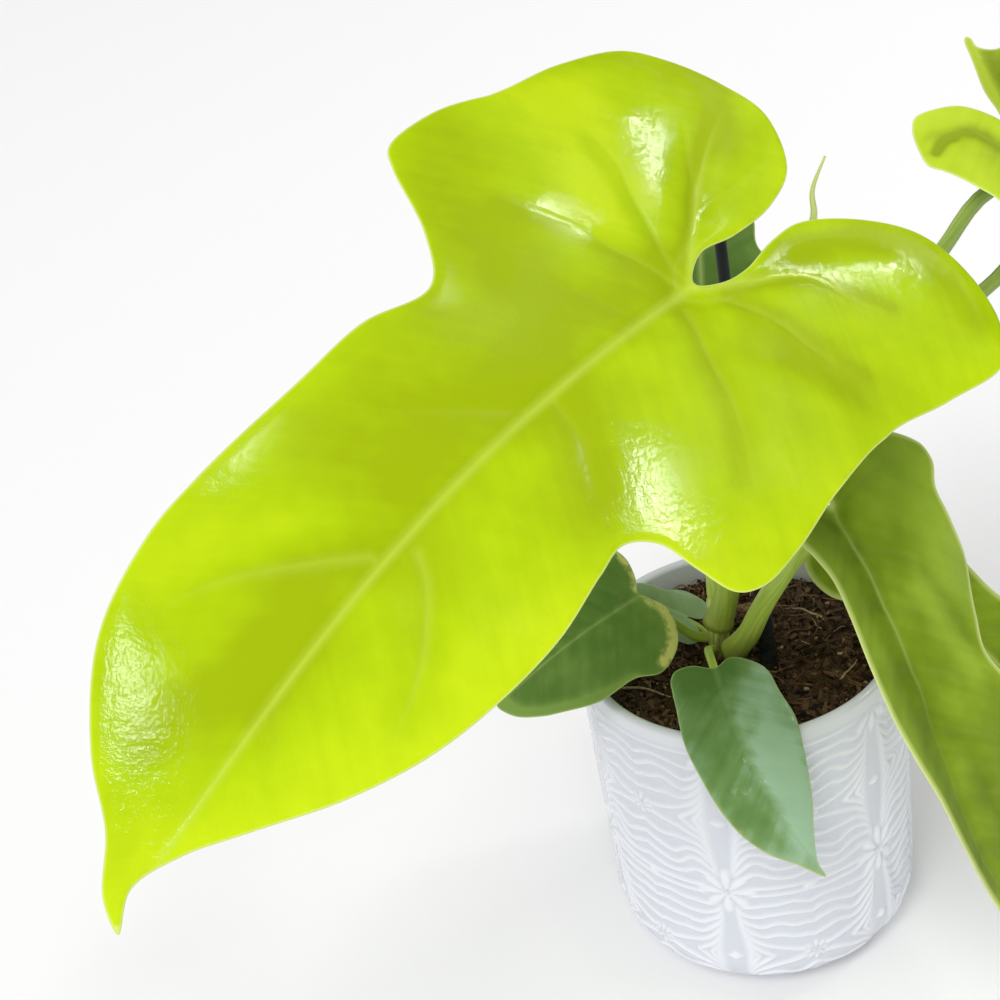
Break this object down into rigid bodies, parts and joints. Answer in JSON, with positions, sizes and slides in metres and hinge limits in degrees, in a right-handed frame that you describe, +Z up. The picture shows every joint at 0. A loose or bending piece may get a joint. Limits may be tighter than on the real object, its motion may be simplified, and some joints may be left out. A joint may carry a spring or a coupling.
{
  "type": "potted gold violin philodendron",
  "caption": "Potted aroid house plant: large violin-shaped golden leaves on a climbing stem with a stake, in bark mix in a white ceramic cylinder pot with flower relief.",
  "frame": {"origin": "centre of the pot's flat base, on the surface that the pot stands on", "axes": "+Z up; -Y towards the viewer of the front, where the small front leaf hangs over the pot's rim; +X to that viewer's right"},
  "size_m": [0.3982, 0.3823, 0.3982],
  "materials": {
    "glazed_white": "gloss",
    "bark_mix": "matte",
    "stake_plastic": "satin",
    "stem_green": "satin",
    "stalk_green": "satin",
    "leaf_gold": "gloss",
    "leaf_lime": "gloss",
    "leaf_olive": "gloss",
    "leaf_green": "satin",
    "leaf_blue_green": "satin",
    "leaf_new": "satin"
  },
  "bodies": {
    "root": {"pot": "glazed_white", "potting_mix": "bark_mix", "support_stake": "stake_plastic", "stem": "stem_green", "golden_blade": "leaf_gold", "golden_stalk": "stalk_green", "right_blade": "leaf_olive", "right_stalk": "stalk_green", "low_right_blade": "leaf_green", "low_right_stalk": "stalk_green", "upper_right_blade": "leaf_lime", "upper_right_stalk": "stalk_green", "far_right_blade": "leaf_lime", "far_right_stalk": "stalk_green", "back_blade": "leaf_green", "back_stalk": "stalk_green", "left_blade": "leaf_green", "left_stalk": "stalk_green", "front_blade": "leaf_blue_green", "front_stalk": "stalk_green", "small_blade": "leaf_blue_green", "small_stalk": "stalk_green", "new_leaf": "leaf_new"}
  },
  "joints": []
}
